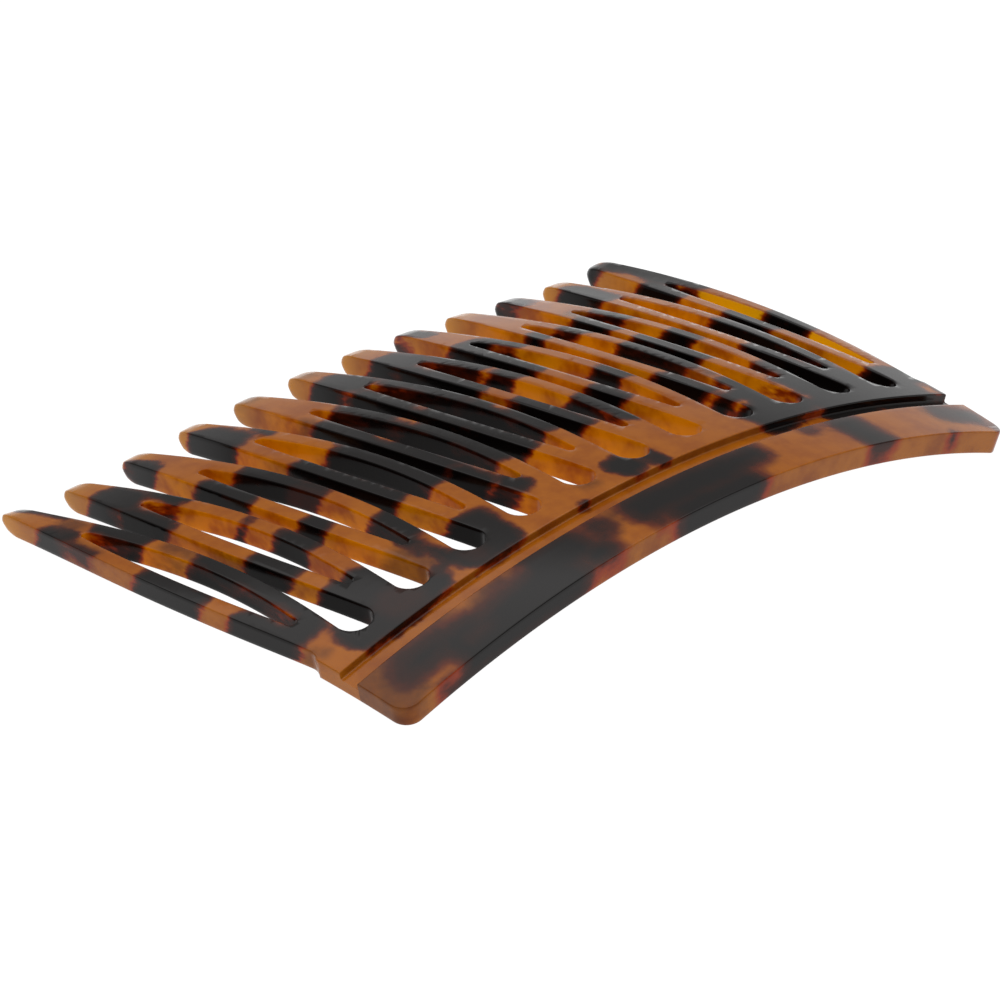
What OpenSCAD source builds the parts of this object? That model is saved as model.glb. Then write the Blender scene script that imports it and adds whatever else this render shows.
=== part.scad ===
// Curved side comb with looped teeth.
// Every piece is drawn on a flat blank and then bent to the domed shape of the comb.
// On the blank, s runs along the comb, v runs from the back edge to the tooth tips,
// and h is the depth below the outer, convex surface.

/* [Sheet] */
// Thickness of the sheet
sheet_t = 2.7; // [2.2:0.1:3.2]
// Distance from one tooth to the next
pitch = 9; // [8.6:0.1:10]

/* [Rim and groove] */
// Width of the rim bar behind the groove
rim_w = 7; // [5:0.5:8]
// Width of the groove between rim bar and tooth plate
groove_w = 2.6; // [1.6:0.2:3]
// Depth of the groove below the outer surface
groove_depth = 0.95; // [0.4:0.05:1.4]
// Rounding of the rim bar's two rear corners, seen from above
rim_corner_r = 2.2; // [1:0.1:3]

/* [Teeth] */
// Distance from the back edge to the tooth tips
comb_h = 63; // [58:1:68]
// Radius of the round root of each gap between two teeth
gap_root_r = 2.2; // [1.8:0.1:2.4]
// Distance from the back edge to the lowest point of the gaps
gap_root_v = 12.3; // [11.2:0.1:13]
// Widest width of a tooth
tooth_w = 7.4; // [6.6:0.1:7.8]
// Radius of a tooth tip, seen from above
tooth_tip_r = 1.4; // [1:0.1:1.6]
// Length over which a tooth tip is rounded off, seen from the side
nose_len = 3; // [2:0.1:3.6]

/* [Slots in the teeth] */
// Distance from the back edge to the root end of a slot
slot_root_v = 18.9; // [18:0.1:20]
// Distance from the back edge to the tip end of a slot
slot_tip_v = 50.8; // [47:0.1:52]
// Widest width of a slot
slot_w = 3.5; // [2.6:0.1:4]
// Radius of the two slot ends
slot_end_r = 0.66; // [0.5:0.02:0.8]

/* [Dome] */
// Radius of the arch along the back edge
arch_r = 146; // [130:1:200]
// Growth of the arch radius for each millimetre towards the tips
arch_growth = 1.86; // [0.5:0.02:2.2]
// Radius of the bend from the back edge to the tips
bend_r = 195; // [150:5:400]
// How far the tips of the two end teeth are splayed up
end_lift = 1.6; // [0:0.1:2.4]
// How much further the tips of the two end teeth reach
end_reach = 1.2; // [0:0.1:2]

/* [Hidden] */
tooth_count = 12;

plate_colour = [0.62, 0.33, 0.10];
rim_colour = [0.38, 0.21, 0.10];
loop_colour = [0.74, 0.42, 0.12];

// Steps along the outlines. A tooth's flank and its slot's edge meet point for point, so
// root_steps + tip_steps + tip_arc_steps is slot_root_steps + slot_tip_steps + 2 * slot_arc_steps
root_steps = 11;
tip_steps = 9;
tip_arc_steps = 3;
slot_arc_steps = 4;
slot_root_steps = 7;
slot_tip_steps = 8;
notch_steps = 8;
rim_steps = 30;
corner_steps = 5;

// How the curved flank of a tooth swells: where its control points stand
flank_root_share = 0.36;
flank_root_pull = 5;
flank_low_pull = 10;
flank_high_pull = 10.5;
flank_tip_pull = 8;
flank_tip_taper = 1.4;
// The same for the edge of a slot
slot_end_gap = 0.2;
slot_root_share = 0.45;
slot_root_pull = 5;
slot_wide_pull = 6.5;
slot_tip_pull = 3.3;
slot_tip_taper = 0.5;
// Stations crowd together towards the tooth tips with this power
tip_ease = 1.4;

// Half length of the comb: the last tooth, half its root and the small shoulder outside it
root_half = pitch / 2 - gap_root_r;
shoulder_w = 0.6;
half_len = (tooth_count - 1) / 2 * pitch + root_half + shoulder_w;
root_line_v = gap_root_v + gap_root_r;
widest_v = (slot_root_v + slot_tip_v) / 2 + 0.6;
// Where a tooth's flank turns into its round tip, and how far the flank leans there
lean = 20;
tip_start = [tooth_tip_r * cos(lean), comb_h - tooth_tip_r * (1 - sin(lean))];

function tooth_name(i) = str("tooth_", i < 10 ? "0" : "", i);
function tooth_s(i) = (i - (tooth_count + 1) / 2) * pitch;

// The dome: an arch whose radius grows towards the tips, with a gentle bend down to them.
// The outermost teeth are splayed up and reach further, most of all at their tips
function degrees_of(arc, r) = arc / r * 180 / PI;
function arch_at(v) = arch_r + arch_growth * v;
function splay(s, v) = pow(s / tooth_s(tooth_count), 6) * pow(v / comb_h, 3);
function bent(s, v, h) =
    let (r = arch_at(v))
    let (a = degrees_of(s, r))
    let (b = degrees_of(v, bend_r))
    [
        (r - h) * sin(a),
        (bend_r - h) * sin(b) + end_reach * splay(s, v),
        r * (cos(a) - 1) - bend_r * (1 - cos(b)) - h * cos(a) * cos(b) + end_lift * splay(s, v)
    ];

// The rounded nose of a tooth: past nose_v both surfaces draw in towards the depth nose_mid
nose_v = comb_h - nose_len;
nose_mid = 0.42 * sheet_t;
nose_reach = 0.96;
function nose_h(v, h) =
    let (past = nose_reach * max(0, v - nose_v) / nose_len)
    nose_mid + (h - nose_mid) * sqrt(1 - past * past);

// Resting pose: the rim's two ends and the tips of the two end teeth stand on the ground
rim_foot_turn = 72;
rim_foot_s = half_len - rim_corner_r * (1 - sin(rim_foot_turn));
rim_foot = bent(rim_foot_s, rim_back(rim_foot_s), sheet_t);
tip_foot_v = nose_v + nose_len / 3;
tip_foot = bent(tooth_s(tooth_count) + tooth_tip_r, tip_foot_v, nose_h(tip_foot_v, sheet_t));
ground_slope = atan2(tip_foot.z - rim_foot.z, tip_foot.y - rim_foot.y);
function level(p) = [
    p.x,
    p.y * cos(ground_slope) + p.z * sin(ground_slope),
    p.z * cos(ground_slope) - p.y * sin(ground_slope)
];

// A cubic curve through p0 and p3, without its last point
function curve(p0, p1, p2, p3, n, ease = 1) = [
    for (k = [0:n - 1])
        let (t = 1 - pow(1 - k / n, ease))
        pow(1 - t, 3) * p0 + 3 * pow(1 - t, 2) * t * p1 + 3 * (1 - t) * t * t * p2 + t * t * t * p3
];
// An arc about [0, v] from angle a to angle b, with both end points
function arc_up(v, r, a, b, n) = [
    for (k = [0:n]) [r * cos(a + (b - a) * k / n), v + r * sin(a + (b - a) * k / n)]
];
function mirrored(points) = [for (k = [len(points) - 1:-1:0]) [-points[k].x, points[k].y]];

// Right-hand flank of a tooth: root, widest part, rounded tip
flank = concat(
    curve([root_half, root_line_v],
        [root_half + flank_root_share * (tooth_w / 2 - root_half), root_line_v + flank_root_pull],
        [tooth_w / 2, widest_v - flank_low_pull],
        [tooth_w / 2, widest_v], root_steps),
    curve([tooth_w / 2, widest_v],
        [tooth_w / 2, widest_v + flank_high_pull],
        [tooth_w / 2 - flank_tip_taper, comb_h - flank_tip_pull],
        tip_start, tip_steps, tip_ease),
    arc_up(comb_h - tooth_tip_r, tooth_tip_r, lean, 90, tip_arc_steps)
);
// Right-hand edge of a slot: root end, widest part, tip end
slot_edge = concat(
    arc_up(slot_root_v + slot_end_r, slot_end_r, -90, -lean, slot_arc_steps),
    curve([slot_end_r, slot_root_v + slot_end_r + slot_end_gap],
        [slot_end_r + slot_root_share * (slot_w / 2 - slot_end_r), slot_root_v + slot_root_pull],
        [slot_w / 2, widest_v - slot_wide_pull],
        [slot_w / 2, widest_v], slot_root_steps),
    curve([slot_w / 2, widest_v],
        [slot_w / 2, widest_v + slot_wide_pull],
        [slot_end_r + slot_tip_taper, slot_tip_v - slot_tip_pull],
        [slot_end_r, slot_tip_v - slot_end_r - slot_end_gap], slot_tip_steps),
    arc_up(slot_tip_v - slot_end_r, slot_end_r, lean, 90, slot_arc_steps)
);

// The rim bar's back edge, with its corners rounded, and where it is cut into stations
function rim_back(s) =
    let (inset = half_len - rim_corner_r)
    let (over = max(0, abs(s) - inset))
    rim_corner_r - sqrt(max(0, rim_corner_r * rim_corner_r - over * over));
rim_stations = concat(
    [for (k = [corner_steps:-1:1]) -(half_len - rim_corner_r) - rim_corner_r * sin(k * 90 / corner_steps)],
    [for (k = [0:rim_steps]) (half_len - rim_corner_r) * (2 * k / rim_steps - 1)],
    [for (k = [1:corner_steps]) half_len - rim_corner_r + rim_corner_r * sin(k * 90 / corner_steps)]
);

// The origin is on the ground under the middle of the comb
tip_reach = max([
    for (i = [1:tooth_count], p = flank) level(bent(tooth_s(i) + p.x, p.y, nose_h(p.y, 0))).y
]);
rim_low = min([for (s = rim_stations) level(bent(s, rim_back(s), sheet_t)).z]);
tip_low = min([
    for (p = flank) level(bent(tooth_s(tooth_count) + p.x, p.y, nose_h(p.y, sheet_t))).z
]);
function placed(p) = level(p) - [0, tip_reach / 2, min(rim_low, tip_low)];

// A ring between an outer and an inner closed outline of equal length, bent from the blank
module bent_ring(outer, inner, s) {
    n = len(outer);
    assert(n == len(inner), "the two outlines need the same number of points");
    at = [
        for (h = [0, sheet_t], line = [outer, inner], p = line)
            placed(bent(s + p.x, p.y, nose_h(p.y, h)))
    ];
    // Corners j and j + 1 of line a to line b, as two triangles
    sides = [[0, 1], [3, 2], [2, 0], [1, 3]];
    faces = [
        for (side = sides, j = [0:n - 1])
            let (k = (j + 1) % n)
            let (a = side[0] * n)
            let (b = side[1] * n)
            each [[a + j, b + j, b + k], [a + j, b + k, a + k]]
    ];
    polyhedron(points = at, faces = faces);
}

// A bar of constant section order: each station is a list of bent points, joined to the next
module bent_bar(stations, caps) {
    k = len(stations[0]);
    n = len(stations);
    skin = [
        for (i = [0:n - 2], j = [0:k - 1])
            let (m = (j + 1) % k)
            each [
                [i * k + j, i * k + m, (i + 1) * k + m],
                [i * k + j, (i + 1) * k + m, (i + 1) * k + j]
            ]
    ];
    first_end = [for (cap = caps) [cap[0], cap[2], cap[1]]];
    last_end = [for (cap = caps) [for (c = cap) (n - 1) * k + c]];
    polyhedron(
        points = [for (station = stations, p = station) placed(p)],
        faces = concat(skin, first_end, last_end)
    );
}

// Rim bar: full thickness from its back edge to the groove
module rim_bar() {
    color(rim_colour)
        bent_bar(
            [
                for (s = rim_stations) [
                    bent(s, rim_back(s), 0),
                    bent(s, rim_back(s), sheet_t),
                    bent(s, rim_w, sheet_t),
                    bent(s, rim_w, 0)
                ]
            ],
            [[0, 1, 2], [0, 2, 3]]
        );
}

// Tooth plate: a ledge that is the groove's floor, then full thickness up to the tooth roots
function gap_s(i) = (i - tooth_count / 2) * pitch;
function plate_front(s) =
    let (nearest = gap_s(round(s / pitch + tooth_count / 2)))
    let (off = abs(s - nearest))
    off >= gap_root_r ? root_line_v : root_line_v - sqrt(gap_root_r * gap_root_r - off * off);
plate_stations = concat(
    [-half_len, -half_len + shoulder_w / 2],
    [
        for (i = [1:tooth_count]) each concat(
            [tooth_s(i) - root_half, tooth_s(i), tooth_s(i) + root_half],
            i == tooth_count ? [] : [
                for (k = [1:notch_steps - 1]) gap_s(i) - gap_root_r * cos(k * 180 / notch_steps)
            ]
        )
    ],
    [half_len - shoulder_w / 2, half_len]
);
module tooth_plate() {
    wall_v = rim_w + groove_w;
    color(plate_colour)
        bent_bar(
            [
                for (s = plate_stations) [
                    bent(s, rim_w, groove_depth),
                    bent(s, rim_w, sheet_t),
                    bent(s, wall_v, sheet_t),
                    bent(s, plate_front(s), sheet_t),
                    bent(s, plate_front(s), 0),
                    bent(s, wall_v, 0),
                    bent(s, wall_v, groove_depth)
                ]
            ],
            [[0, 1, 2], [0, 2, 6], [2, 3, 6], [3, 4, 6], [4, 5, 6]]
        );
}

// One looped tooth, from the root line to its tip, with its slot
module tooth(i) {
    outer = concat([[0, root_line_v]], flank, mirrored([for (k = [0:len(flank) - 2]) flank[k]]));
    inner = concat(slot_edge, mirrored([for (k = [1:len(slot_edge) - 2]) slot_edge[k]]));
    color(loop_colour)
        bent_ring(outer, inner, tooth_s(i));
}

rim_bar();
tooth_plate();
for (i = [1:tooth_count]) tooth(i);
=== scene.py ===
# %% [markdown]
# # A tortoiseshell hair comb
#
# The comb is cut from one sheet of tortoiseshell acetate, a plastic made in marbled blocks. A cutter
# follows the outline of twelve looped teeth, a separate bar is glued on as the rim, and the whole blank is
# warmed and pressed over a former, so that it keeps a gentle dome. This script makes it in the same order:
# flat outline, groove, bend, then the colour and the polish.

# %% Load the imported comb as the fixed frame
import math

import bmesh
import bpy
import numpy as np
from mathutils import Matrix, Vector


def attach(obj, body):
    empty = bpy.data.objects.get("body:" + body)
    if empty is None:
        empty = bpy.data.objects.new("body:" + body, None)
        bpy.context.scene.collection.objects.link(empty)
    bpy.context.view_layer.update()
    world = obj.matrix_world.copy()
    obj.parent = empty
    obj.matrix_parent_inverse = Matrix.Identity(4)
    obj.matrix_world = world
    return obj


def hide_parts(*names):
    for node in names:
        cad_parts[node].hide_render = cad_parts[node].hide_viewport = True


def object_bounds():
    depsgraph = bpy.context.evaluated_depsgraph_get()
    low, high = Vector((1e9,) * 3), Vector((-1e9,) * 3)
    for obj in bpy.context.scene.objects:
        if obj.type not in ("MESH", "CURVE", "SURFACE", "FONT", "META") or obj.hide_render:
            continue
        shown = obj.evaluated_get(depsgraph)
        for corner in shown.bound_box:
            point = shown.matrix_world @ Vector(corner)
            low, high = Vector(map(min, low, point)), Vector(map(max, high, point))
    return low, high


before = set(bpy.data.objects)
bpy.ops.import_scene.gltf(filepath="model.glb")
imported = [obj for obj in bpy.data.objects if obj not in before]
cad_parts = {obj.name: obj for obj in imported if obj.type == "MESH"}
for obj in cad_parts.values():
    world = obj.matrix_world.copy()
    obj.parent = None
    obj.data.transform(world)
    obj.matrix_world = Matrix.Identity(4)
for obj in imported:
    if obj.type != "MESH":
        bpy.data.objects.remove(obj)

cad_low, cad_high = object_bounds()
print("solid model, mm:", [round((cad_high[k] - cad_low[k]) * 1000, 2) for k in range(3)])

# %% [markdown]
# ## The flat blank
#
# Everything is drawn on a flat blank in millimetres: s runs along the comb, v from the back edge to the
# tooth tips, and h is the depth below the outer surface. Drawing flat keeps the outlines simple, and it
# is what the maker does. These are the same sizes as in the solid model.

# %% Sizes of the blank, in millimetres
TOOTH_COUNT = 12
PITCH = 9.0
SHEET_T = 2.7
RIM_W = 7.0
GROOVE_W = 2.6
GROOVE_DEPTH = 0.95
RIM_CORNER_R = 2.2
COMB_H = 63.0
GAP_ROOT_R = 2.2
GAP_ROOT_V = 12.3
TOOTH_W = 7.4
TOOTH_TIP_R = 1.4
NOSE_LEN = 3.0
SLOT_ROOT_V = 18.9
SLOT_TIP_V = 50.8
SLOT_W = 3.5
SLOT_END_R = 0.66
SHOULDER_W = 0.6
EDGE_R = 0.16
WIDEST_PAST_MIDDLE = 0.6

root_half = PITCH / 2 - GAP_ROOT_R
half_len = (TOOTH_COUNT - 1) / 2 * PITCH + root_half + SHOULDER_W
root_line_v = GAP_ROOT_V + GAP_ROOT_R
widest_v = (SLOT_ROOT_V + SLOT_TIP_V) / 2 + WIDEST_PAST_MIDDLE
groove_wall_v = RIM_W + GROOVE_W
tooth_centres = [(k - (TOOTH_COUNT - 1) / 2) * PITCH for k in range(TOOTH_COUNT)]
print("blank, mm:", 2 * half_len, "by", COMB_H)

# %% [markdown]
# ## The bend
#
# The dome is an arch along the comb whose radius grows towards the tips, with a second, gentler bend from
# the back edge to the tips. The outermost teeth are splayed up and reach a little further. One function
# bends any point of the blank, so every piece that is drawn flat lands where the solid model has it, and
# nothing has to be fitted afterwards. A tooth's nose is rounded by the same function: past its start the
# two faces draw in towards each other, and a little back from the outline, as filing would leave them.

# %% Round the nose of a tooth
NOSE_REACH = 0.96
NOSE_MID = 0.42 * SHEET_T
NOSE_PINCH = 0.34


def nose_share(v):
    """How far a point lies along the rounded nose of a tooth: 0 before the nose, nearly 1 at the tip."""
    return NOSE_REACH * np.clip((v - COMB_H + NOSE_LEN) / NOSE_LEN, 0, 1)


def pinched(s, v, h):
    """Rounds the nose's section: its two faces draw back from the outline, its middle does not."""
    centre = (np.floor(s / PITCH) + 0.5) * PITCH
    off_mid = (h - NOSE_MID) / np.where(h < NOSE_MID, NOSE_MID, SHEET_T - NOSE_MID)
    pinch = (nose_share(v) * off_mid) ** 2
    return centre + (s - centre) * (1 - NOSE_PINCH * pinch), v - NOSE_PINCH * pinch, h


def thinned(v, h):
    """Depth in the nose, where both faces draw in."""
    return NOSE_MID + (h - NOSE_MID) * np.sqrt(1 - nose_share(v) ** 2)


print("thickness at the very tip, mm:", round(float(thinned(COMB_H, SHEET_T) - thinned(COMB_H, 0)), 2))

# %% Bend a point of the blank into the dome
ARCH_R = 146.0
ARCH_GROWTH = 1.86
BEND_R = 195.0
END_LIFT = 1.6
END_REACH = 1.2
SPLAY_ALONG = 6
SPLAY_ACROSS = 3


def domed(s, v, h):
    """The dome before it is stood on the table, in millimetres."""
    h = thinned(v, h)
    r = ARCH_R + ARCH_GROWTH * v
    a = s / r
    b = v / BEND_R
    splay = (s / tooth_centres[-1]) ** SPLAY_ALONG * (v / COMB_H) ** SPLAY_ACROSS
    x = (r - h) * np.sin(a)
    y = (BEND_R - h) * np.sin(b) + END_REACH * splay
    z = r * (np.cos(a) - 1) - BEND_R * (1 - np.cos(b)) - h * np.cos(a) * np.cos(b) + END_LIFT * splay
    return np.stack([x, y, z], axis=-1)


def corner_inset(s):
    """How far the rounded rear corners of the rim cut in at a place along the comb."""
    over = max(0.0, abs(s) - (half_len - RIM_CORNER_R))
    return RIM_CORNER_R - math.sqrt(max(0.0, RIM_CORNER_R ** 2 - over ** 2))


print("arch radius at the tips, mm:", round(ARCH_R + ARCH_GROWTH * COMB_H, 1))

# %% Level the dome on its four feet
TIP_LEAN = math.radians(20)
RIM_FOOT_TURN = math.radians(72)
tip_start = (TOOTH_TIP_R * math.cos(TIP_LEAN), COMB_H - TOOTH_TIP_R * (1 - math.sin(TIP_LEAN)))
rim_foot_s = half_len - RIM_CORNER_R * (1 - math.sin(RIM_FOOT_TURN))
rim_foot = domed(rim_foot_s, corner_inset(rim_foot_s), SHEET_T)
tip_foot_v = COMB_H - NOSE_LEN * 2 / 3
tip_foot = domed(tooth_centres[-1] + TOOTH_TIP_R, tip_foot_v, SHEET_T)
table_slope = math.atan2(tip_foot[2] - rim_foot[2], tip_foot[1] - rim_foot[1])


def levelled(p):
    """Turns the dome so that its four feet stand level."""
    y = p[..., 1] * math.cos(table_slope) + p[..., 2] * math.sin(table_slope)
    z = p[..., 2] * math.cos(table_slope) - p[..., 1] * math.sin(table_slope)
    return np.stack([p[..., 0], y, z], axis=-1)


print("table slope, degrees:", round(math.degrees(table_slope), 3))

# %% [markdown]
# ## The outlines
#
# A tooth is a long leaf: it leaves its root narrow, swells to its widest near the middle, and tapers to a
# small round tip. Its slot is the same shape in small. Two cubic curves and an arc draw one side, and the
# other side is its mirror image, so both stay smooth at any number of steps.

# %% Curves and arcs as points
CURVE_STEPS = 14
ARC_STEPS = 6


def curve(p0, p1, p2, p3):
    """A cubic curve from p0 to p3, without its last point."""
    steps = [k / CURVE_STEPS for k in range(CURVE_STEPS)]
    weights = [((1 - t) ** 3, 3 * (1 - t) ** 2 * t, 3 * (1 - t) * t * t, t ** 3) for t in steps]
    ends = (p0, p1, p2, p3)
    return [tuple(sum(w * p[axis] for w, p in zip(ws, ends)) for axis in (0, 1)) for ws in weights]


def arc(s, v, r, start, end, steps=ARC_STEPS):
    """An arc about (s, v), with both end points, angles in radians."""
    turns = [start + (end - start) * k / steps for k in range(steps + 1)]
    return [(s + r * math.cos(a), v + r * math.sin(a)) for a in turns]


def mirrored(points):
    """The same edge on the other side of the tooth, walked back."""
    return [(-s, v) for s, v in reversed(points)]


print("points on a curve:", len(curve((0, 0), (0, 1), (1, 1), (1, 2))), "and on an arc:", ARC_STEPS + 1)

# %% One side of a tooth
FLANK_ROOT_SHARE = 0.36
FLANK_ROOT_PULL = 5
FLANK_LOW_PULL = 10
FLANK_HIGH_PULL = 10.5
FLANK_TIP_PULL = 8
FLANK_TIP_TAPER = 1.4

half_w = TOOTH_W / 2
swell_s = root_half + FLANK_ROOT_SHARE * (half_w - root_half)
flank = (
    curve((root_half, root_line_v), (swell_s, root_line_v + FLANK_ROOT_PULL),
          (half_w, widest_v - FLANK_LOW_PULL), (half_w, widest_v))
    + curve((half_w, widest_v), (half_w, widest_v + FLANK_HIGH_PULL),
            (half_w - FLANK_TIP_TAPER, COMB_H - FLANK_TIP_PULL), tip_start)
    + arc(0, COMB_H - TOOTH_TIP_R, TOOTH_TIP_R, TIP_LEAN, math.pi / 2)
)
print("one side of a tooth, points:", len(flank))

# %% One side of a slot, and both closed outlines
SLOT_END_GAP = 0.2
SLOT_ROOT_SHARE = 0.45
SLOT_ROOT_PULL = 5
SLOT_WIDE_PULL = 6.5
SLOT_TIP_PULL = 3.3
SLOT_TIP_TAPER = 0.5

slot_half_w = SLOT_W / 2
slot_swell_s = SLOT_END_R + SLOT_ROOT_SHARE * (slot_half_w - SLOT_END_R)
root_end_v = SLOT_ROOT_V + SLOT_END_R
tip_end_v = SLOT_TIP_V - SLOT_END_R
slot_edge = (
    arc(0, root_end_v, SLOT_END_R, -math.pi / 2, -TIP_LEAN)
    + curve((SLOT_END_R, root_end_v + SLOT_END_GAP), (slot_swell_s, SLOT_ROOT_V + SLOT_ROOT_PULL),
            (slot_half_w, widest_v - SLOT_WIDE_PULL), (slot_half_w, widest_v))
    + curve((slot_half_w, widest_v), (slot_half_w, widest_v + SLOT_WIDE_PULL),
            (SLOT_END_R + SLOT_TIP_TAPER, SLOT_TIP_V - SLOT_TIP_PULL),
            (SLOT_END_R, tip_end_v - SLOT_END_GAP))
    + arc(0, tip_end_v, SLOT_END_R, TIP_LEAN, math.pi / 2)
)
tooth_outline = flank + mirrored(flank)[1:]
slot_outline = slot_edge + mirrored(slot_edge)[1:-1]
print("points round a tooth:", len(tooth_outline), "and round its slot:", len(slot_outline))

# %% Stand the dome in the solid model's box
MM = 0.001

rim_line = np.linspace(-half_len, half_len, 401)
rim_backs = np.array([corner_inset(s) for s in rim_line])
end_tooth = np.array(tooth_outline)
feet_z = min(
    levelled(domed(rim_line, rim_backs, SHEET_T))[:, 2].min(),
    levelled(domed(tooth_centres[-1] + end_tooth[:, 0], end_tooth[:, 1], SHEET_T))[:, 2].min(),
)
reach_y = levelled(domed(tooth_centres[-1] + end_tooth[:, 0], end_tooth[:, 1], 0.0))[:, 1].max()
stand_at = np.array([0.0, reach_y - cad_high.y / MM, feet_z - cad_low.z / MM])


def on_comb(blank):
    """Points of the blank, in millimetres, to points of the finished comb, in metres."""
    s, v, h = pinched(blank[:, 0], blank[:, 1], blank[:, 2])
    return (levelled(domed(s, v, h)) - stand_at) * MM


print("moved by, mm:", [round(float(d), 3) for d in stand_at])

# %% [markdown]
# ## Cutting the sheet
#
# A filled curve is the natural way to draw a sheet with holes: one closed line is the outline, the lines
# inside it are holes, and the curve's bevel rounds the arrises as tumbling in polishing grit does. The
# sheet then has to be cut into a fine grid, because a face can only bend where it has an edge.

# %% Outlines of the tooth plate and of the rim bar
GAP_STEPS = 16
CORNER_STEPS = 10


def plate_outline():
    """The whole outline of the tooth plate, anticlockwise from its rear left corner."""
    notch_angle = math.acos((SHOULDER_W - GAP_ROOT_R) / GAP_ROOT_R)
    line = [(-half_len, RIM_W), (half_len, RIM_W)]
    outer_gap = tooth_centres[-1] + PITCH / 2
    line += arc(outer_gap, root_line_v, GAP_ROOT_R, 2 * math.pi - notch_angle, math.pi)[:-1]
    for k in reversed(range(TOOTH_COUNT)):
        line += [(tooth_centres[k] + s, v) for s, v in tooth_outline[:-1]]
        gap = tooth_centres[k] - PITCH / 2
        if k > 0:
            line += arc(gap, root_line_v, GAP_ROOT_R, 0, -math.pi, steps=GAP_STEPS)[:-1]
        else:
            line += arc(gap, root_line_v, GAP_ROOT_R, 0, notch_angle - math.pi)
    return line


def rim_outline():
    """The outline of the rim bar, with its two rear corners rounded."""
    inset = half_len - RIM_CORNER_R
    right = arc(inset, RIM_CORNER_R, RIM_CORNER_R, -math.pi / 2, 0, steps=CORNER_STEPS)
    return mirrored(right) + right + [(half_len, RIM_W), (-half_len, RIM_W)]


print("points round the plate:", len(plate_outline()), "and round the rim bar:", len(rim_outline()))

# %% From outlines to a solid flat sheet
WELD = 0.002


def stand(name, data):
    """Adds an object that shows this data to the scene."""
    made = bpy.data.objects.new(name, data)
    bpy.context.scene.collection.objects.link(made)
    return made


def evaluated_mesh(piece):
    """The mesh that a curve, or a mesh with modifiers, works out to."""
    bpy.context.view_layer.update()
    return bpy.data.meshes.new_from_object(piece.evaluated_get(bpy.context.evaluated_depsgraph_get()))


def cut_sheet(name, outline, holes=()):
    """A flat sheet with rounded arrises: its upper face at h = 0 and its lower face at the thickness."""
    line = bpy.data.curves.new(name, "CURVE")
    line.dimensions = "2D"
    line.fill_mode = "BOTH"
    line.extrude = SHEET_T / 2 - EDGE_R
    line.bevel_depth = EDGE_R
    line.bevel_resolution = 1
    line.offset = -EDGE_R
    for points in [outline, *holes]:
        spline = line.splines.new("POLY")
        spline.points.add(len(points) - 1)
        spline.use_cyclic_u = True
        for point, (s, v) in zip(spline.points, points):
            point.co = (s, v, 0, 1)
    drawn = stand(name, line)
    mesh = evaluated_mesh(drawn)
    bpy.data.objects.remove(drawn)
    piece = stand(name, mesh)
    solid = bmesh.new()
    solid.from_mesh(mesh)
    bmesh.ops.translate(solid, verts=solid.verts, vec=(0, 0, -SHEET_T / 2))
    bmesh.ops.remove_doubles(solid, verts=solid.verts, dist=WELD)
    bmesh.ops.recalc_face_normals(solid, faces=solid.faces)
    solid.to_mesh(mesh)
    open_edges = sum(1 for e in solid.edges if len(e.link_faces) != 2)
    solid.free()
    print(name, "faces:", len(mesh.polygons), "open edges:", open_edges)
    return piece


slots = [[(centre + s, v) for s, v in slot_outline] for centre in tooth_centres]
tooth_sheet = cut_sheet("tooth_sheet", plate_outline(), slots)
rim = cut_sheet("rim", rim_outline())

# %% [markdown]
# ## The groove
#
# The rim bar stands proud of a groove that runs the whole length of the comb. A moulding cutter makes it:
# its profile is drawn once, with a small fillet for the inner corner and a small round for the arris, and
# a boolean takes its sweep away from the flat sheet.

# %% Run the cutter along the back of the tooth plate
GROOVE_FILLET = 0.22
CUTTER_MARGIN = 1.0


def groove_cutter():
    """A bar with the groove's profile, longer than the comb."""
    fillet_v = groove_wall_v - GROOVE_FILLET
    fillet = arc(fillet_v, GROOVE_FILLET - GROOVE_DEPTH, GROOVE_FILLET, -math.pi / 2, 0)
    arris = arc(groove_wall_v + EDGE_R, -EDGE_R, EDGE_R, math.pi, math.pi / 2)
    profile = [(RIM_W - CUTTER_MARGIN, -GROOVE_DEPTH)] + fillet + arris
    profile += [(groove_wall_v + EDGE_R, CUTTER_MARGIN), (RIM_W - CUTTER_MARGIN, CUTTER_MARGIN)]
    reach = half_len + 2 * CUTTER_MARGIN
    solid = bmesh.new()
    near = [solid.verts.new((-reach, v, z)) for v, z in profile]
    face = solid.faces.new(near)
    swept = bmesh.ops.extrude_face_region(solid, geom=[face])
    far = [item for item in swept["geom"] if isinstance(item, bmesh.types.BMVert)]
    bmesh.ops.translate(solid, verts=far, vec=(2 * reach, 0, 0))
    bmesh.ops.recalc_face_normals(solid, faces=solid.faces)
    mesh = bpy.data.meshes.new("groove_cutter")
    solid.to_mesh(mesh)
    solid.free()
    return stand("groove_cutter", mesh)


def keep_result(piece):
    """Makes the result of the modifiers the piece's own mesh."""
    made = evaluated_mesh(piece)
    piece.modifiers.clear()
    piece.data = made


cutter = groove_cutter()
cut = tooth_sheet.modifiers.new("groove", "BOOLEAN")
cut.operation = "DIFFERENCE"
cut.solver = "EXACT"
cut.object = cutter
keep_result(tooth_sheet)
bpy.data.objects.remove(cutter)
print("tooth sheet after the groove, faces:", len(tooth_sheet.data.polygons))

# %% [markdown]
# ## Blotches in the block
#
# In the marbled block the dark colour lies in soft-edged patches that run right through the sheet, at a
# slant. Each patch is written as a rounded box on the blank, and a smooth maximum joins neighbours as runny
# plastic does. The result is a height field in millimetres, positive inside the dark. It is stored on the
# points of the mesh, and the material later adds the ragged edge. A list of clear windows opens amber spots
# in the dark, and a list of haze adds thin brown smoke.

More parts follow.
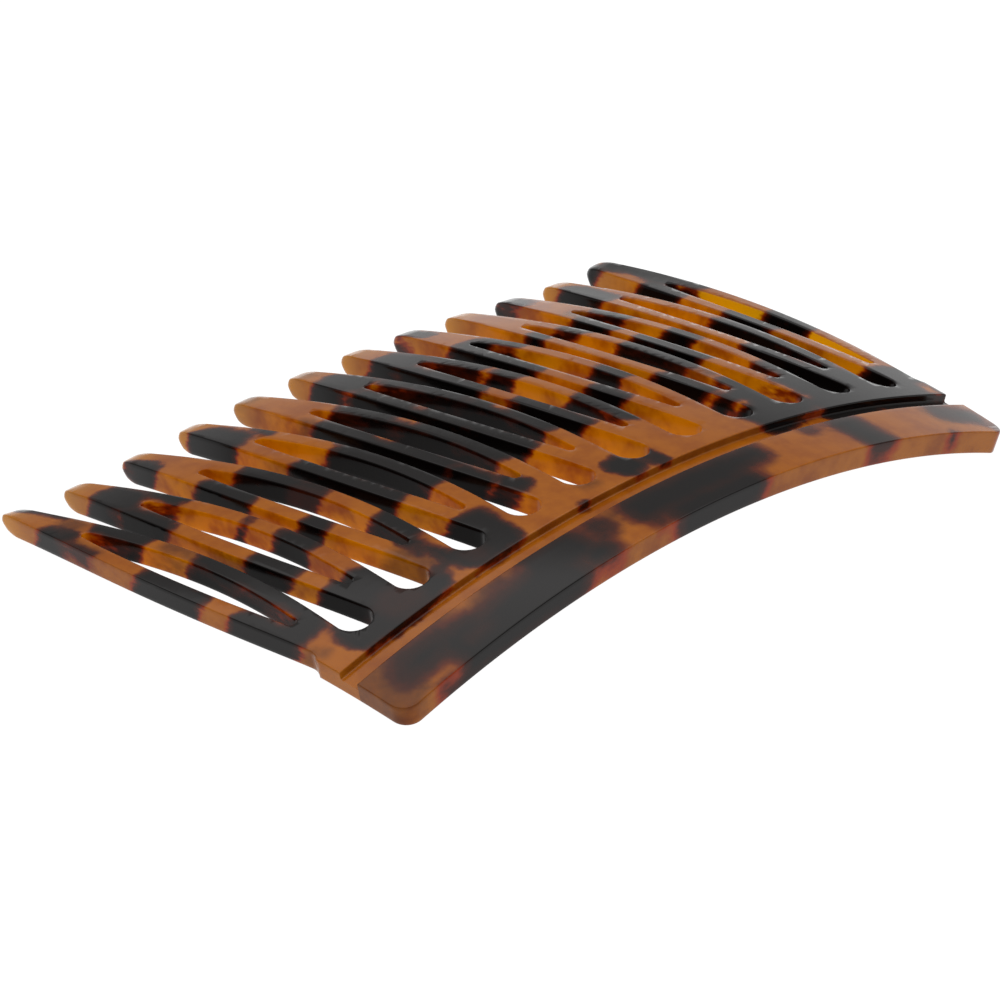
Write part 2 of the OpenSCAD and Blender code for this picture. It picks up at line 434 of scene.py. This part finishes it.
# %% Dark patches on the tooth plate: s and v of the middle, half sizes along s and v, turn in degrees
PLATE_DARK = [
    # First tooth and the root beside it
    (-47.4, 58.8, 1.4, 3.6, 10), (-51.3, 53.0, 1.6, 2.5, 8), (-46.8, 47.2, 2.0, 4.2, 2),
    (-53.2, 48.4, 1.1, 2.4, 0), (-52.8, 34.3, 2.3, 5.1, 0), (-53.0, 20.6, 2.6, 4.9, 0),
    (-46.6, 27.0, 1.9, 9.4, 0), (-49.4, 17.5, 3.0, 1.9, 0), (-44.6, 12.2, 4.4, 3.0, 0),
    (-38.0, 11.6, 5.0, 2.4, 0), (-27.0, 11.8, 4.4, 2.6, 0),
    # Second tooth
    (-41.0, 54.2, 2.9, 3.2, 14), (-43.3, 47.2, 1.8, 4.3, 0), (-37.8, 49.2, 1.8, 3.2, 0),
    (-38.0, 36.9, 1.1, 0.8, 0), (-43.2, 28.0, 1.9, 3.5, 6), (-38.3, 29.2, 1.9, 3.0, 8),
    (-41.4, 17.0, 4.6, 3.7, 0),
    # Third tooth
    (-34.2, 58.9, 2.2, 3.5, 16), (-34.3, 44.0, 1.8, 4.6, 0), (-34.2, 30.0, 2.2, 2.0, 10),
    (-29.2, 40.0, 1.9, 6.4, 0), (-29.0, 22.3, 2.2, 3.4, 0), (-31.4, 16.4, 1.3, 4.0, 0),
    # Fourth tooth
    (-24.6, 55.6, 3.2, 4.4, 8), (-20.0, 51.8, 1.3, 1.7, 0), (-25.4, 33.8, 1.9, 8.3, 0),
    (-20.0, 32.8, 2.0, 8.2, 0), (-23.9, 14.0, 2.4, 4.4, -6), (-27.6, 16.6, 1.4, 1.8, 0),
    # Fifth tooth
    (-16.4, 36.9, 2.0, 10.8, 0), (-16.6, 23.0, 1.7, 3.2, 0), (-10.8, 35.6, 2.0, 13.2, 0),
    (-15.0, 18.2, 1.7, 2.2, 24), (-13.0, 9.6, 0.9, 0.5, 0),
    # Sixth tooth
    (-5.0, 54.0, 2.8, 3.6, 8), (-7.3, 36.4, 1.9, 14.2, 0), (-1.8, 37.2, 1.9, 13.4, 0),
    (-3.4, 12.2, 2.4, 2.3, 20),
    # Seventh tooth
    (4.0, 53.6, 2.8, 3.2, 6), (1.6, 44.6, 1.9, 6.8, 0), (7.2, 46.8, 1.9, 4.4, 0),
    (7.2, 39.3, 1.8, 2.1, 0), (1.4, 27.8, 1.9, 5.8, 0), (7.0, 24.2, 1.8, 4.9, 0), (0.6, 11.4, 1.3, 2.2, 0),
    # Eighth tooth
    (13.4, 60.0, 1.4, 2.8, 0), (11.0, 44.0, 2.1, 7.0, 0), (13.4, 50.2, 2.4, 1.8, 0),
    (16.2, 47.0, 1.7, 2.6, 0), (16.0, 31.1, 1.6, 2.5, 0), (10.4, 26.8, 1.9, 2.8, 0),
    # Ninth tooth
    (20.0, 46.0, 1.8, 1.5, 12), (25.2, 45.0, 1.8, 2.0, 12), (25.2, 31.7, 1.8, 5.7, 0),
    (19.8, 23.4, 1.8, 4.1, 0), (25.0, 18.4, 2.1, 3.8, 0),
    # Tenth tooth
    (31.2, 60.0, 1.6, 3.0, 0), (29.0, 44.8, 1.9, 3.6, 6), (34.0, 46.8, 1.7, 3.0, 0),
    (28.8, 33.0, 1.9, 5.4, 0), (34.0, 35.6, 1.7, 2.5, 0), (34.0, 20.8, 1.8, 3.0, 0),
    # Eleventh tooth
    (39.4, 55.0, 2.4, 4.2, 0), (42.8, 28.6, 1.8, 9.4, 0), (37.8, 24.6, 1.8, 4.8, 0),
    # Twelfth tooth
    (48.0, 62.6, 2.0, 2.4, 0), (50.9, 55.4, 2.2, 6.0, 0), (47.0, 49.6, 2.3, 3.5, 6),
    (47.0, 35.4, 2.0, 4.0, 0), (52.2, 48.6, 1.9, 2.6, 0), (52.0, 33.2, 1.9, 3.7, 0),
    # Broad dark roots of the last four teeth
    (22.6, 13.6, 6.4, 5.2, 16), (34.0, 13.0, 6.0, 6.8, 0), (45.4, 12.6, 8.0, 5.2, 0),
    (38.6, 17.6, 4.0, 3.6, 0),
]
print("dark patches on the plate:", len(PLATE_DARK))

# %% Clear windows and haze on the tooth plate
PLATE_CLEAR = [
    (-51.4, 12.6, 1.5, 2.2, 0), (-33.4, 14.6, 1.6, 1.6, 0), (29.4, 15.8, 0.5, 2.8, 6),
    (20.8, 15.4, 0.8, 0.4, 0), (50.8, 11.2, 1.0, 1.4, 0), (-10.2, 39.0, 0.7, 1.3, 0),
    (-0.4, 32.8, 1.1, 0.9, 24), (7.2, 42.2, 1.4, 0.4, 10), (-15.2, 37.6, 0.5, 1.4, 0),
    (-6.4, 40.2, 0.5, 0.6, 0),
]
PLATE_HAZE = [
    (-39.6, 12.4, 3.0, 2.4, 0), (-33.4, 16.0, 1.6, 3.6, 0), (-48.6, 53.4, 1.8, 1.9, 0),
    (-46.6, 39.0, 1.2, 2.8, 0), (-52.6, 48.6, 1.4, 2.8, 0), (-29.4, 36.0, 1.0, 2.4, 0),
    (-13.2, 61.0, 1.0, 1.4, 0), (-9.6, 12.0, 1.4, 1.0, 0), (-1.2, 37.6, 1.0, 1.0, 0),
    (31.0, 49.2, 2.0, 1.9, 0), (-16.4, 48.6, 1.4, 1.2, 0), (-28.4, 11.6, 1.6, 1.6, 0),
    (25.0, 24.4, 1.3, 1.8, 0), (-4.4, 60.0, 0.7, 1.0, 0), (-51.4, 13.6, 0.5, 1.2, 30),
]
print("clear windows:", len(PLATE_CLEAR), "and hazes:", len(PLATE_HAZE))

# %% Patches on the rim bar, which comes from another part of the block
RIM_DARK = [
    (-34.4, 1.4, 12.6, 4.2, 0), (-46.2, 3.8, 3.6, 1.7, 0), (-44.0, 4.6, 4.6, 2.2, 0),
    (-24.2, 4.4, 6.4, 3.4, 0), (-19.4, 1.6, 2.9, 2.2, 0),
    (-15.8, 5.0, 1.7, 1.6, -20), (-2.4, 4.4, 9.6, 3.2, 0), (-0.4, 0.2, 7.8, 3.4, 0),
    (7.4, 4.8, 5.0, 2.4, 10),
    (-10.0, 1.3, 1.1, 1.0, 0), (21.6, 6.3, 1.4, 1.2, 0), (27.8, 3.2, 2.9, 4.4, 6),
    (47.6, 4.4, 4.0, 2.1, -14), (51.8, 0.9, 1.0, 0.8, 0), (41.6, -0.4, 0.6, 0.7, 0),
]
RIM_CLEAR = [(-46.8, 0.9, 3.6, 1.0, -4), (-32.0, 6.2, 4.4, 0.9, 6), (-13.4, 0.6, 2.4, 2.0, 20)]
RIM_HAZE = [
    (-50.4, 3.8, 3.4, 4.4, 0), (-43.0, 6.6, 6.0, 0.9, 4), (-38.0, 2.2, 2.2, 1.0, 10),
    (-16.2, 4.6, 2.2, 2.0, 0), (-32.0, 5.6, 4.6, 1.6, 6), (45.0, 4.4, 3.0, 2.2, 0),
    (-12.8, 5.8, 1.6, 1.4, 0),
]
print("dark patches on the rim bar:", len(RIM_DARK))

# %% The field of a list of patches
JOIN = 2.6
DEPTH_DRIFT = (0.18, -0.45)
CORNER_SHARE = 0.75
FIELD_LIMIT = 8


def patch_field(blank, patches):
    """How far each point of the blank lies inside the nearest patch, in millimetres."""
    s = blank[:, 0] + DEPTH_DRIFT[0] * blank[:, 2]
    v = blank[:, 1] + DEPTH_DRIFT[1] * blank[:, 2]
    total = np.zeros(len(blank))
    for mid_s, mid_v, half_s, half_v, turn in patches:
        a = math.radians(turn)
        corner = CORNER_SHARE * min(half_s, half_v)
        along = np.abs((s - mid_s) * math.cos(a) + (v - mid_v) * math.sin(a)) - half_s + corner
        across = np.abs((v - mid_v) * math.cos(a) - (s - mid_s) * math.sin(a)) - half_v + corner
        outside = np.hypot(np.maximum(along, 0), np.maximum(across, 0))
        inside = corner - outside - np.minimum(np.maximum(along, across), 0)
        total += np.exp(JOIN * np.clip(inside, -FIELD_LIMIT, FIELD_LIMIT))
    return np.log(total) / JOIN


def dye(blank, dark, clear, haze):
    """The dark field with its clear windows taken out, and the field of thin brown haze."""
    shade = np.minimum(patch_field(blank, dark), -patch_field(blank, clear))
    return {"dark": shade, "haze": patch_field(blank, haze)}


middle_of_rim = np.array([[0.0, RIM_W / 2, 0.0]])
print("dark in the middle of the rim bar, mm:", round(float(patch_field(middle_of_rim, RIM_DARK)[0]), 2))

# %% [markdown]
# ## Pressing the sheet over the former
#
# The grid cuts give the sheet its bending lines, with closer ones in the noses. The points are then moved
# all at once by the bend function. The flat position of each point stays on the mesh as an attribute, so
# the pattern is bent with the sheet instead of being cut through it. Weighted normals keep the broad faces
# flat right up to the small rounded arrises.

# %% Cut into a grid
GRID = 1.4
DEPTH_CUTS = 5
NOSE_CUTS = 8
CUT_TOLERANCE = 1e-5


def grid_cut(piece):
    """Cuts the flat piece along s, v and h, so that it can bend smoothly."""
    solid = bmesh.new()
    solid.from_mesh(piece.data)
    corners = np.array([tuple(vert.co) for vert in solid.verts])
    low, high = corners.min(axis=0), corners.max(axis=0)
    cuts = [(0, low[0] + GRID * k) for k in range(1, int((high[0] - low[0]) / GRID))]
    cuts += [(1, low[1] + GRID * k) for k in range(1, int((high[1] - low[1]) / GRID))]
    cuts += [(1, COMB_H - NOSE_LEN * (1 - math.sin(k * math.pi / 2 / NOSE_CUTS))) for k in range(NOSE_CUTS)]
    cuts += [(2, -SHEET_T * k / DEPTH_CUTS) for k in range(1, DEPTH_CUTS)]
    for axis, place in cuts:
        normal = Vector((axis == 0, axis == 1, axis == 2))
        bmesh.ops.bisect_plane(solid, geom=solid.verts[:] + solid.edges[:] + solid.faces[:],
                               plane_co=normal * place, plane_no=normal, dist=CUT_TOLERANCE)
    solid.to_mesh(piece.data)
    solid.free()
    print(piece.name, "faces after the grid cuts:", len(piece.data.polygons))


grid_cut(tooth_sheet)
grid_cut(rim)

# %% How enclosed each point is
GROOVE_CLEAR_V = 10.6
GROOVE_FADE = 1.5
GAP_OPEN_V = 60.0
GAP_FADE = 8


# This share places the painted glow on the walls of slots and narrow gaps, and lowers the gloss there.
def enclosed_share(blank):
    """1 on the walls of slots and narrow gaps, 0 on the outer sides and where the gaps open at the tips."""
    s, v = blank[:, 0], blank[:, 1]
    edge = np.array(slot_edge)
    side = np.array(flank)
    slot_half = np.interp(v, edge[:, 1], edge[:, 0], left=0, right=0)
    halfway = (slot_half + np.interp(v, side[:, 1], side[:, 0])) / 2
    outer_side = np.abs(s) > tooth_centres[-1] + halfway
    past_groove = np.clip((v - GROOVE_CLEAR_V) / GROOVE_FADE, 0, 1)
    before_tips = np.clip((GAP_OPEN_V - v) / GAP_FADE, 0, 1)
    return np.where(outer_side, 0.0, past_groove * before_tips)


slot_middle = np.array([[tooth_centres[0], widest_v, 0.0]])
print("enclosed at a slot's middle:", float(enclosed_share(slot_middle)[0]))

# %% Store the pattern and bend
SHARP = math.radians(50)


def press(piece, fields):
    """Stores the blank's coordinates and the colour fields on the points, then bends the piece."""
    mesh = piece.data
    mesh.shade_smooth()
    mesh.set_sharp_from_angle(angle=SHARP)
    flat = np.empty(len(mesh.vertices) * 3)
    mesh.vertices.foreach_get("co", flat)
    blank = flat.reshape(-1, 3) * (1, 1, -1)
    stored = mesh.attributes.new("blank", "FLOAT_VECTOR", "POINT")
    stored.data.foreach_set("vector", blank.astype(np.float32).ravel())
    for name, values in {**dye(blank, *fields), "enclosed": enclosed_share(blank)}.items():
        stored = mesh.attributes.new(name, "FLOAT", "POINT")
        stored.data.foreach_set("value", values.astype(np.float32))
    mesh.vertices.foreach_set("co", on_comb(blank).astype(np.float32).ravel())
    mesh.update()
    crisp = piece.modifiers.new("crisp_faces", "WEIGHTED_NORMAL")
    crisp.keep_sharp = True
    keep_result(piece)
    print(piece.name, "points:", len(mesh.vertices), "faces:", len(mesh.polygons))


press(tooth_sheet, (PLATE_DARK, PLATE_CLEAR, PLATE_HAZE))
press(rim, (RIM_DARK, RIM_CLEAR, RIM_HAZE))
tooth_nodes = ["tooth_%02d" % (k + 1) for k in range(TOOTH_COUNT)]
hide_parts("tooth_plate", *tooth_nodes)
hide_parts("rim_bar")
for piece, slot in ((tooth_sheet, "plate_acetate"), (rim, "rim_acetate")):
    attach(piece, "root")

# %% [markdown]
# ## Shader sums in Python
#
# A shader is a sum over a surface. This small class lets the sum be written as one: each operator adds
# the Math node that it stands for, and one method adds any other node.

# %% A socket that can be used in expressions
class Wire:
    """An output socket of a shader node."""

    def __init__(self, tree, socket):
        self.tree = tree
        self.socket = socket

    def node(self, kind, settings=None, inputs=None, output=0):
        """Adds a node: its settings first, then the value or the link of each socket."""
        made = self.tree.nodes.new(kind)
        for name, value in (settings or {}).items():
            if name == "stops":
                fill_ramp(made.color_ramp, value)
            else:
                setattr(made, name, value)
        for name, value in (inputs or {}).items():
            if isinstance(value, Wire):
                self.tree.links.new(made.inputs[name], value.socket)
            else:
                made.inputs[name].default_value = value
        return Wire(self.tree, made.outputs[output])

    def math(self, operation, *values):
        return self.node("ShaderNodeMath", {"operation": operation}, dict(enumerate(values)))

    def __add__(self, other):
        return self.math("ADD", self, other)

    def __sub__(self, other):
        return self.math("SUBTRACT", self, other)

    def __rsub__(self, other):
        return self.math("SUBTRACT", other, self)

    def __mul__(self, other):
        return self.math("MULTIPLY", self, other)

    __radd__ = __add__
    __rmul__ = __mul__

    def step(self, low, high):
        """0 below low, 1 above high, smooth between."""
        ends = {"From Min": low, "From Max": high, "Value": self}
        return self.node("ShaderNodeMapRange", {"interpolation_type": "SMOOTHSTEP"}, ends)

    def mix(self, a, b):
        """Colour a where this mask is 0, colour b where it is 1."""
        pair = [c if isinstance(c, Wire) else (*c, 1) for c in (a, b)]
        return self.node("ShaderNodeMix", {"data_type": "RGBA"}, {0: self, 6: pair[0], 7: pair[1]}, 2)


def fill_ramp(ramp, stops):
    """Gives a colour ramp its stops: a position and a linear colour each."""
    while len(ramp.elements) < len(stops):
        ramp.elements.new(1.0)
    for element, (position, colour) in zip(ramp.elements, stops):
        element.position = position
        element.color = (*colour, 1)


print("operators ready:", [name for name in ("__add__", "__rsub__", "__mul__") if hasattr(Wire, name)])

# %% [markdown]
# ## Tortoiseshell acetate
#
# The dark field is shaken by noise of two sizes, then read in steps: amber, a red fringe where the dark dye
# thins out, brown, and nearly black. Real acetate lets light through. Inside the slots and the narrow gaps
# the amber glows orange, with hardly any shine, and near the thin tips it turns golden. Tracing light
# through the sheet would be slow, so the glow is painted: the colour depends on whether a face is a wall,
# and on how enclosed it is.

# %% The colours, linear, and where they change
AMBER_FACE = (0.41, 0.118, 0.005)
AMBER_DEEP = (0.32, 0.080, 0.004)
# Painted glow: the amber turns golden near the thin tips, where light passes through.
AMBER_TIP_PAINTED_GLOW = (0.52, 0.205, 0.020)
# Painted shade: the amber of the outer walls, darker than on the faces.
FLANK_AMBER_PAINTED_SHADE = (0.34, 0.104, 0.006)
FLANK_DEEP_PAINTED_SHADE = (0.23, 0.055, 0.003)
# Painted glow: the bright orange of the walls of slots and narrow gaps, golden near the outermost tooth.
SLOT_WALL_PAINTED_GLOW = (0.66, 0.205, 0.001)
SLOT_WALL_PAINTED_GLOW_DEEP = (0.36, 0.072, 0.0005)
SLOT_WALL_PAINTED_GOLD_GLOW = (0.80, 0.36, 0.002)
FRINGE = (0.125, 0.019, 0.004)
# Painted glow: the red fringe, brighter on the walls.
FRINGE_WALL_PAINTED_GLOW = (0.27, 0.026, 0.001)
BROWN = (0.034, 0.009, 0.005)
# Painted shade and painted glow: the brown, darker and redder on the walls.
BROWN_WALL_PAINTED_SHADE_AND_GLOW = (0.040, 0.0045, 0.0008)
NEAR_BLACK = (0.0085, 0.0065, 0.006)
# Painted shade: the near black, darker on the walls.
BLACK_WALL_PAINTED_SHADE = (0.0025, 0.0014, 0.0012)
GLOW_V = 57.0
# Where the painted golden glow of the slot walls sets in along the comb.
PAINTED_GOLD_GLOW_S = (46.0, 50.0)
WALL_TURN = (0.45, 0.9)
print("golden from v =", GLOW_V, "to the tips")

# %% Noise and masks
GRAIN = (1.0, 0.8, 2.2)
WAVE_SCALE = 0.32
FRAY_SCALE = 1.1
FRAY_SHARE = 0.32


def noise(vector, scale, detail=2.0, roughness=0.5):
    """Soft noise between 0 and 1, on coordinates in millimetres."""
    values = {"Vector": vector, "Scale": scale, "Detail": detail, "Roughness": roughness}
    return vector.node("ShaderNodeTexNoise", {"normalize": True}, values)


def stretched(vector, factors):
    """The vector with each of its parts multiplied."""
    return vector.node("ShaderNodeVectorMath", {"operation": "MULTIPLY"}, {0: vector, 1: factors})


def stored(start, name, output=2):
    """An attribute that was stored on the points of the mesh."""
    return start.node("ShaderNodeAttribute", {"attribute_name": name}, output=output)


def ragged_edge(blank, ragged):
    """How far the edge of a patch is shaken, in millimetres, changing fastest through the sheet."""
    grain = stretched(blank, GRAIN)
    wave = (noise(grain, WAVE_SCALE) - 0.5) * ragged
    return wave + (noise(grain, FRAY_SCALE) - 0.5) * (FRAY_SHARE * ragged)


# This mask picks the painted glow and painted shade of the walls, and weakens the coat there.
def wall_mask(start):
    """1 on faces that stand upright, 0 on those that look up or down."""
    facing = start.node("ShaderNodeNewGeometry", output=1)
    upright = start.node("ShaderNodeVectorMath", {"operation": "DOT_PRODUCT"}, {0: facing, 1: (0, 0, 1)}, 1)
    return 1 - start.math("ABSOLUTE", upright).step(*WALL_TURN)


print("noise features, mm:", round(1 / WAVE_SCALE, 1), "and", round(1 / FRAY_SCALE, 1))

# %% The marbled colour
CLOUD_SCALE = 0.22
CLOUD_EDGES = (0.35, 0.7)
HAZE_EDGES = (-1.0, 1.2)
HAZE_SCALE = 0.5
SMOKE_LEAST = 0.35
SMOKE_CHANGE = 0.5
FRINGE_OUT = 0.6
FRINGE_IN = 0.1
BROWN_OUT = 0.2
BROWN_IN = 0.45
BLACK_FROM = 0.15
BLACK_IN = 1.1


def amber_painted_glow_and_shade(blank, wall, enclosed):
    """The clear amber, before any dark dye, with painted glow near the tips and on the slot walls, and
    painted shade on the outer walls.
    """
    clouds = noise(blank, CLOUD_SCALE, 3.0, 0.6).step(*CLOUD_EDGES)
    # These two masks place the painted golden glow: near the tips, and on the slot walls at the right end.
    tip = blank.node("ShaderNodeSeparateXYZ", None, {0: blank}, 1).step(GLOW_V, COMB_H)
    painted_gold_glow = blank.node("ShaderNodeSeparateXYZ", None, {0: blank}, 0).step(*PAINTED_GOLD_GLOW_S)
    face_amber_and_painted_tip_glow = tip.mix(clouds.mix(AMBER_FACE, AMBER_DEEP), AMBER_TIP_PAINTED_GLOW)
    flank_painted_shade_and_tip_glow = tip.mix(clouds.mix(FLANK_AMBER_PAINTED_SHADE, FLANK_DEEP_PAINTED_SHADE), AMBER_TIP_PAINTED_GLOW)
    slot_painted_glow = painted_gold_glow.mix(clouds.mix(SLOT_WALL_PAINTED_GLOW, SLOT_WALL_PAINTED_GLOW_DEEP), SLOT_WALL_PAINTED_GOLD_GLOW)
    return wall.mix(face_amber_and_painted_tip_glow, enclosed.mix(flank_painted_shade_and_tip_glow, slot_painted_glow))


def marbled_colour_painted_glow_and_shade(start, blank, wall, enclosed, ragged, soft):
    """Amber, red fringe, brown and nearly black, in the order in which the dye thickens, with painted glow
    and painted shade on the walls.
    """
    shake = ragged_edge(blank, ragged)
    edge = stored(start, "dark") + shake
    smoke = SMOKE_LEAST + SMOKE_CHANGE * noise(blank, HAZE_SCALE)
    thin = (stored(start, "haze") + shake).step(*HAZE_EDGES) * smoke
    amber = amber_painted_glow_and_shade(blank, wall, enclosed)
    brown = wall.mix(BROWN, BROWN_WALL_PAINTED_SHADE_AND_GLOW)
    reddened_with_painted_light = edge.step(-FRINGE_OUT * soft, FRINGE_IN).mix(amber, wall.mix(FRINGE, FRINGE_WALL_PAINTED_GLOW))
    browned_with_painted_light = edge.step(-BROWN_OUT * soft, BROWN_IN * soft).mix(reddened_with_painted_light, brown)
    blackened_with_painted_light = edge.step(BLACK_FROM, BLACK_IN * soft).mix(browned_with_painted_light, wall.mix(NEAR_BLACK, BLACK_WALL_PAINTED_SHADE))
    return thin.mix(blackened_with_painted_light, brown)


print("haze from", HAZE_EDGES[0], "to", HAZE_EDGES[1], "mm")

# %% [markdown]
# ## The polish
#
# Acetate is tumbled and then buffed on a cloth wheel. That leaves a hard, clear skin with faint waves and
# hairlines. The skin is the shader's coat, because its strength may change over the surface: full on the
# faces, weaker on the outer walls, and almost none inside the slots, where the wheel doesn't reach.

# %% Put the colour and the polish on both pieces
FACE_GLOSS = 0.50
FLANK_GLOSS = 0.30
INNER_GLOSS = 0.04
ACETATE_IOR = 1.49
COAT_ROUGHNESS = 0.12
UNDERCOAT_SPECULAR = 0.05
HAIRLINE_STRETCH = (0.5, 9.0, 9.0)
HAIRLINE_HEIGHT = 0.02
BUFFING_SCALE = 0.12
ROUGH_SCALE = 0.6
ROUGH_LEAST = 0.10
ROUGH_CLOUDS = 0.08
ROUGH_HAIRLINES = 0.05
BUMP = {"Strength": 0.25, "Distance": 0.00008}


def acetate(name, ragged, soft):
    """Polished tortoiseshell acetate: ragged breaks the blotches up, soft widens their smoky rims."""
    material = bpy.data.materials.new(name)
    material.use_nodes = True
    tree = material.node_tree
    surface = next(n for n in tree.nodes if n.type == "BSDF_PRINCIPLED")
    start = Wire(tree, None)
    blank = stored(start, "blank", output=1)
    enclosed = stored(start, "enclosed")
    wall = wall_mask(start)
    hairlines = noise(stretched(blank, HAIRLINE_STRETCH), 1.0)
    height = noise(blank, BUFFING_SCALE, 3.0) + hairlines * HAIRLINE_HEIGHT
    lost_on_walls = FACE_GLOSS - FLANK_GLOSS + (FLANK_GLOSS - INNER_GLOSS) * enclosed
    roughness = ROUGH_LEAST + ROUGH_CLOUDS * noise(blank, ROUGH_SCALE, 3.0) + ROUGH_HAIRLINES * hairlines
    driven = {
        "Base Color": marbled_colour_painted_glow_and_shade(start, blank, wall, enclosed, ragged, soft),
        "Roughness": roughness,
        "Normal": start.node("ShaderNodeBump", None, {**BUMP, "Height": height}),
        "Coat Weight": FACE_GLOSS - wall * lost_on_walls,
    }
    for socket, value in driven.items():
        tree.links.new(surface.inputs[socket], value.socket)
    surface.inputs["IOR"].default_value = ACETATE_IOR
    surface.inputs["Specular IOR Level"].default_value = UNDERCOAT_SPECULAR
    surface.inputs["Coat IOR"].default_value = ACETATE_IOR
    surface.inputs["Coat Roughness"].default_value = COAT_ROUGHNESS
    return material


tooth_sheet.data.materials.clear()
tooth_sheet.data.materials.append(acetate("plate_tortoiseshell", ragged=2.0, soft=1.0))
rim.data.materials.clear()
rim.data.materials.append(acetate("rim_tortoiseshell", ragged=1.6, soft=2.2))
print("materials:", [m.name for m in bpy.data.materials if m.users])

# %% [markdown]
# ## Table, light and camera
#
# A white table, a soft studio sky that is brighter overhead, and a long lens that looks across the comb
# from its rear left corner. The table gives off a little light of its own, so that it stays plain white and
# lights the walls of the teeth from below. The sky alone lights the faces: its dim band keeps their polish
# dark in the middle, and its bright top lies in the polish where the arch turns away.

# %% Table
TABLE_SIZE = 6.0
TABLE_GREY = 0.08
TABLE_ROUGHNESS = 0.9
TABLE_GLOW = 1.0

table_mesh = bpy.data.meshes.new("table")
table_shape = bmesh.new()
bmesh.ops.create_grid(table_shape, x_segments=2, y_segments=2, size=TABLE_SIZE / 2)
table_shape.to_mesh(table_mesh)
table_shape.free()
table = stand("table", table_mesh)
table.location.z = min(cad_low.z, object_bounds()[0].z)
white = bpy.data.materials.new("white_table")
white.use_nodes = True
paint = next(n for n in white.node_tree.nodes if n.type == "BSDF_PRINCIPLED")
paint.inputs["Base Color"].default_value = (TABLE_GREY, TABLE_GREY, TABLE_GREY, 1)
paint.inputs["Roughness"].default_value = TABLE_ROUGHNESS
paint.inputs["Emission Color"].default_value = (1, 1, 1, 1)
paint.inputs["Emission Strength"].default_value = TABLE_GLOW
table_mesh.materials.append(white)
print("table at, mm:", round(table.location.z * 1000, 3))

# %% Studio sky: its brightness from the horizon to straight up
SKY = [(0.0, 0.75), (0.2, 0.5), (0.42, 0.26), (0.62, 0.40), (0.67, 0.50), (0.74, 1.25), (1.0, 1.3)]
world = bpy.data.worlds.new("studio")
bpy.context.scene.world = world
world.use_nodes = True
backdrop = next(n for n in world.node_tree.nodes if n.type == "BACKGROUND")
sky = Wire(world.node_tree, None)
direction = sky.node("ShaderNodeTexCoord", output=0)
rise = sky.node("ShaderNodeSeparateXYZ", None, {0: direction}, 2)
bright = sky.node("ShaderNodeValToRGB", {"stops": [(at, (b, b, b)) for at, b in SKY]}, {0: rise})
world.node_tree.links.new(backdrop.inputs["Color"], bright.socket)
backdrop.inputs["Strength"].default_value = 1.0
bpy.context.scene.view_settings.view_transform = "Standard"
print("sky, brightest:", max(b for at, b in SKY), "dimmest:", min(b for at, b in SKY))

# %% Camera
CAMERA_AZIMUTH = math.radians(-49.29)
CAMERA_ELEVATION = math.radians(26.75)
CAMERA_ROLL = math.radians(3.54)
CAMERA_DISTANCE = 0.9025
CAMERA_AIM = Vector((-0.00286, -0.00112, 0.00024))
CAMERA_LENS = 286.5
SENSOR_WIDTH = 36

back = Vector((
    math.sin(CAMERA_AZIMUTH) * math.cos(CAMERA_ELEVATION),
    -math.cos(CAMERA_AZIMUTH) * math.cos(CAMERA_ELEVATION),
    math.sin(CAMERA_ELEVATION),
))
right = Vector((math.cos(CAMERA_AZIMUTH), math.sin(CAMERA_AZIMUTH), 0))
up = back.cross(right)
rolled_right = right * math.cos(CAMERA_ROLL) + up * math.sin(CAMERA_ROLL)
rolled_up = up * math.cos(CAMERA_ROLL) - right * math.sin(CAMERA_ROLL)
lens = bpy.data.cameras.new("camera")
lens.lens = CAMERA_LENS
lens.sensor_width = SENSOR_WIDTH
lens.clip_start = 0.01
camera = stand("camera", lens)
turned = Matrix((rolled_right, rolled_up, back)).transposed().to_4x4()
camera.matrix_world = Matrix.Translation(CAMERA_AIM + back * CAMERA_DISTANCE) @ turned
bpy.context.scene.camera = camera
print("camera at, mm:", [round(c * 1000) for c in camera.matrix_world.translation])
